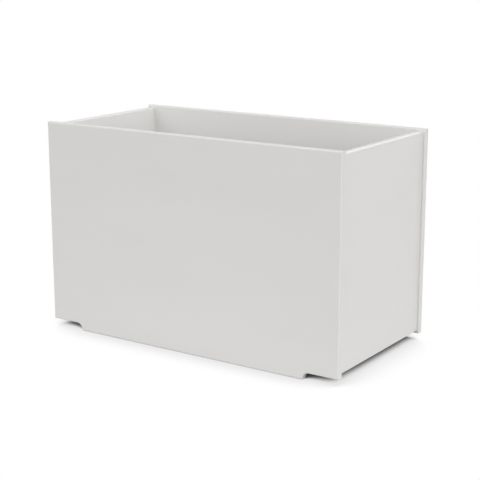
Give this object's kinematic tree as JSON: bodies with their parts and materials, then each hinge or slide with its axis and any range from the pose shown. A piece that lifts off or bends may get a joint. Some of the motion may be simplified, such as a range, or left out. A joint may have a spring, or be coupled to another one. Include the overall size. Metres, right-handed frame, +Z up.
{
  "type": "planter",
  "caption": "Rectangular floor planter of flat plastic panels: long sides with raised bottom corners, inset ends, and a drained floor on hidden ledgers.",
  "frame": {"origin": "on the ground, under the centre of the planter", "axes": "+Z up, +X along the long panels towards the right end, -Y towards the front panel"},
  "size_m": [0.9144, 0.4572, 0.5747],
  "materials": {
    "wall_sheet": "extruded polyethylene sheet, pale warm grey, matte",
    "frame_sheet": "sawn polyethylene bar, pale warm grey, matte",
    "floor_sheet": "extruded polyethylene sheet, pale warm grey, matte",
    "screw_steel": "stainless steel, plain"
  },
  "bodies": {
    "root": {"front_panel": "wall_sheet", "back_panel": "wall_sheet", "left_end_panel": "wall_sheet", "right_end_panel": "wall_sheet", "front_left_cleat": "frame_sheet", "front_right_cleat": "frame_sheet", "back_left_cleat": "frame_sheet", "back_right_cleat": "frame_sheet", "front_ledger": "frame_sheet", "back_ledger": "frame_sheet", "left_ledger": "frame_sheet", "right_ledger": "frame_sheet", "left_bearer": "frame_sheet", "middle_bearer": "frame_sheet", "right_bearer": "frame_sheet", "floor_panel": "floor_sheet", "front_cleat_screws": "screw_steel", "back_cleat_screws": "screw_steel", "left_cleat_screws": "screw_steel", "right_cleat_screws": "screw_steel", "front_ledger_screws": "screw_steel", "back_ledger_screws": "screw_steel", "left_ledger_screws": "screw_steel", "right_ledger_screws": "screw_steel", "floor_screws": "screw_steel"}
  },
  "joints": []
}
